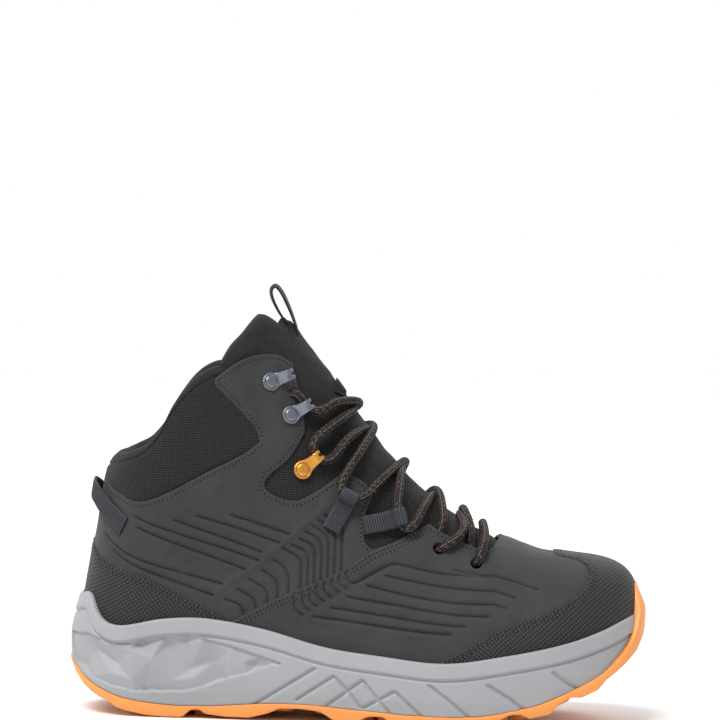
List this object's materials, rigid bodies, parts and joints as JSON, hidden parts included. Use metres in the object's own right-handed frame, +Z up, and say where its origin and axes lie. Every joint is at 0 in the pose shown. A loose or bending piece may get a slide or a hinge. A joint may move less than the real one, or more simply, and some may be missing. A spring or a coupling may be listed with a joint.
{
  "type": "hiking_boot",
  "caption": "Mid-height right hiking boot with a charcoal leather upper, padded textile collar and tongue, laced hooks, grey foam midsole and orange lugged rubber outsole",
  "frame": {"origin": "on the ground, under the middle of the boot's length and width", "axes": "+X from heel to toe, +Z up, the outer (lateral) side of this right boot faces -Y"},
  "size_m": [0.3046, 0.1161, 0.2273],
  "materials": {
    "outsole_rubber": "matt moulded rubber",
    "midsole_foam": "matt moulded foam",
    "shank_nylon": "moulded",
    "board": "fibreboard",
    "footbed_foam": "fabric-faced foam",
    "nubuck": "brushed nubuck",
    "cap_textile": "coated ripstop",
    "stiffener": "thermoformed sheet",
    "mesh_textile": "fine grid mesh",
    "padding": "open foam",
    "lining_textile": "knitted lining",
    "hook_grey": "satin paint",
    "rivet_grey": "satin paint",
    "hook_orange": "satin paint",
    "webbing": "ribbed webbing",
    "pull_tape": "woven tape",
    "lace_cord": "round braid with flecks",
    "aglet_plastic": "clear-coated tip"
  },
  "bodies": {
    "boot": {"outsole": "outsole_rubber", "midsole": "midsole_foam", "shank": "shank_nylon", "insole_board": "board", "quarter_lateral": "nubuck", "quarter_medial": "nubuck", "vamp": "nubuck", "toe_cap": "cap_textile", "heel_cap": "cap_textile", "toe_puff": "stiffener", "heel_counter": "stiffener", "collar_textile": "mesh_textile", "collar_foam": "padding", "collar_lining": "lining_textile", "bootie_lining": "lining_textile", "eyestay_textile_lateral": "mesh_textile", "eyestay_textile_medial": "mesh_textile", "tongue_cover": "mesh_textile", "tongue_foam": "padding", "tongue_lining": "lining_textile", "hook_top_lateral": "hook_grey", "hook_top_medial": "hook_grey", "hook_second_lateral": "hook_grey", "hook_second_medial": "hook_grey", "ankle_hook_lateral": "hook_orange", "ankle_hook_medial": "hook_orange", "hook_rivets": "rivet_grey", "ankle_hook_rivets": "hook_orange", "lace_loop_upper_lateral": "webbing", "lace_loop_upper_medial": "webbing", "lace_loop_lower_lateral": "webbing", "lace_loop_lower_medial": "webbing", "lace": "lace_cord", "lace_aglets": "aglet_plastic", "tongue_lace_keeper": "pull_tape"},
    "tongue_pull_loop": {"tongue_pull_loop": "pull_tape"},
    "heel_pull_loop": {"heel_pull_loop": "webbing"},
    "footbed": {"footbed": "footbed_foam"}
  },
  "joints": [
    {"name": "tongue_pull_loop_hinge", "type": "hinge", "parent": "boot", "child": "tongue_pull_loop", "pos_m": [-0.0419, 0, 0.2083], "axis": [0, 1, 0], "range_deg": [-8, 60], "stiffness_Nm_per_rad": 0.003},
    {"name": "heel_pull_loop_hinge", "type": "hinge", "parent": "boot", "child": "heel_pull_loop", "pos_m": [-0.1289, 0, 0.1026], "axis": [0, 1, 0], "range_deg": [-30, 4], "stiffness_Nm_per_rad": 0.01},
    {"name": "footbed_lift", "type": "slide", "parent": "boot", "child": "footbed", "axis": [0, 0, 1], "range_m": [0, 0.006]}
  ]
}
